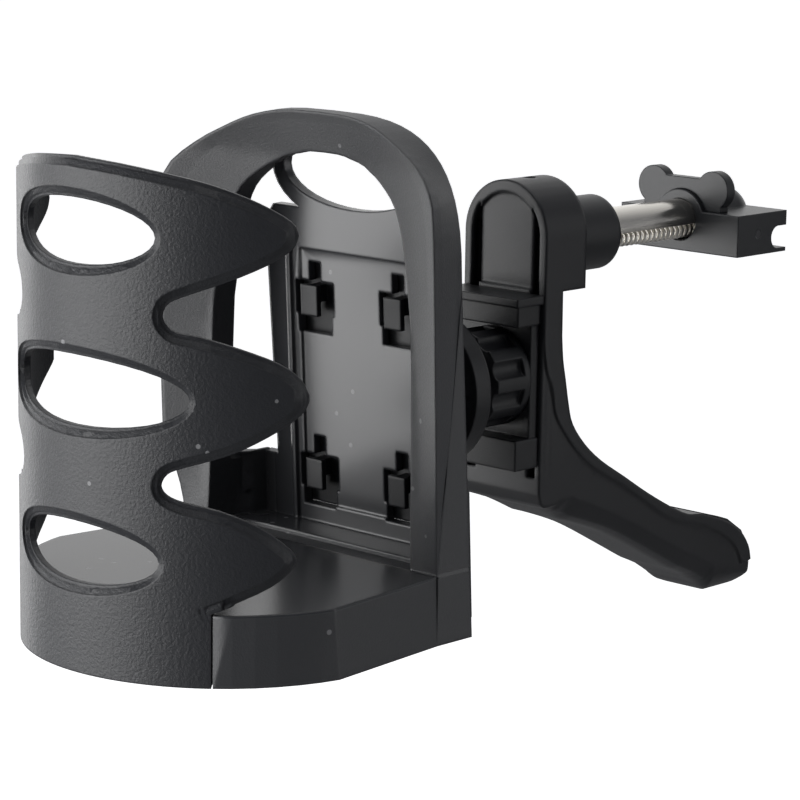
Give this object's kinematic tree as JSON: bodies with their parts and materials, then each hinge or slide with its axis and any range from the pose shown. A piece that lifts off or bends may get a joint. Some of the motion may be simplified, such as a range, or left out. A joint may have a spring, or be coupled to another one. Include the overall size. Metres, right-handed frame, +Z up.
{
  "type": "car cup holder",
  "caption": "Vent-mounted cup holder: round cage with curved fingers and an arch, ball joint, leg with a foot, and a spring clip with a notched jaw.",
  "frame": {"origin": "centre of the blade notch in the clip's jaw, in the middle of its width", "axes": "+Z up, +Y towards the vent that the notch opens to, +X to the right seen from the cup towards the vent"},
  "size_m": [0.0782, 0.199, 0.117],
  "materials": {
    "cage_plastic": "black moulded plastic with a fine grain",
    "claw_plastic": "black moulded plastic with a fine grain",
    "hook_plastic": "black moulded plastic with a fine grain",
    "ball_plastic": "black moulded plastic with a fine grain",
    "nut_plastic": "black moulded plastic with a fine grain",
    "carriage_plastic": "black moulded plastic with a fine grain",
    "bracket_plastic": "black moulded plastic with a fine grain",
    "foot_rubber": "dark matt rubber",
    "screw_steel": "drawn steel with a slightly warm tone",
    "sleeve_plastic": "black moulded plastic with a fine grain",
    "rod_steel": "drawn steel with a slightly warm tone",
    "spring_steel": "drawn steel with a slightly warm tone",
    "pin_steel": "drawn steel with a slightly warm tone",
    "jaw_plastic": "black moulded plastic with a fine grain",
    "grip_plastic": "black moulded plastic with a fine grain"
  },
  "bodies": {
    "clip": {"blade_jaw": "jaw_plastic", "finger_grip": "grip_plastic", "clip_rod": "rod_steel", "jaw_pin": "pin_steel", "clip_spring": "spring_steel"},
    "sleeve": {"swivel_sleeve": "sleeve_plastic"},
    "bracket": {"vent_body": "bracket_plastic", "foot_pad": "foot_rubber", "set_screw": "screw_steel"},
    "carriage": {"carriage": "carriage_plastic"},
    "nut": {"clamp_nut": "nut_plastic"},
    "hanger": {"hook_plate": "hook_plastic", "ball_stud": "ball_plastic"},
    "cage": {"cup_frame": "cage_plastic"},
    "claw": {"front_claw": "claw_plastic"}
  },
  "joints": [
    {"name": "rod_slide", "type": "slide", "parent": "clip", "child": "sleeve", "axis": [0, 1, 0], "range_m": [0, 0.012], "stiffness_N_per_m": 250, "springref_m": -0.01},
    {"name": "sleeve_turn", "type": "hinge", "parent": "sleeve", "child": "bracket", "pos_m": [0, -0.0667, 0.0035], "axis": [0, 1, 0], "range_deg": [-90, 90]},
    {"name": "height_slide", "type": "slide", "parent": "bracket", "child": "carriage", "axis": [0, 0, 1], "range_m": [-0.003, 0.016]},
    {"name": "nut_turn", "type": "hinge", "parent": "carriage", "child": "nut", "pos_m": [0, -0.0827, -0.0242], "axis": [0, 1, 0], "range_deg": [0, 180]},
    {"name": "ball_tilt", "type": "hinge", "parent": "carriage", "child": "hanger", "pos_m": [0, -0.0827, -0.0242], "axis": [1, 0, 0], "range_deg": [-12, 12]},
    {"name": "cage_hook", "type": "slide", "parent": "hanger", "child": "cage", "axis": [0, -0.0558, 0.9984], "range_m": [-0.0036, 0.0034]},
    {"name": "claw_slide", "type": "slide", "parent": "cage", "child": "claw", "axis": [0, -1, 0], "range_m": [0, 0.01]}
  ]
}
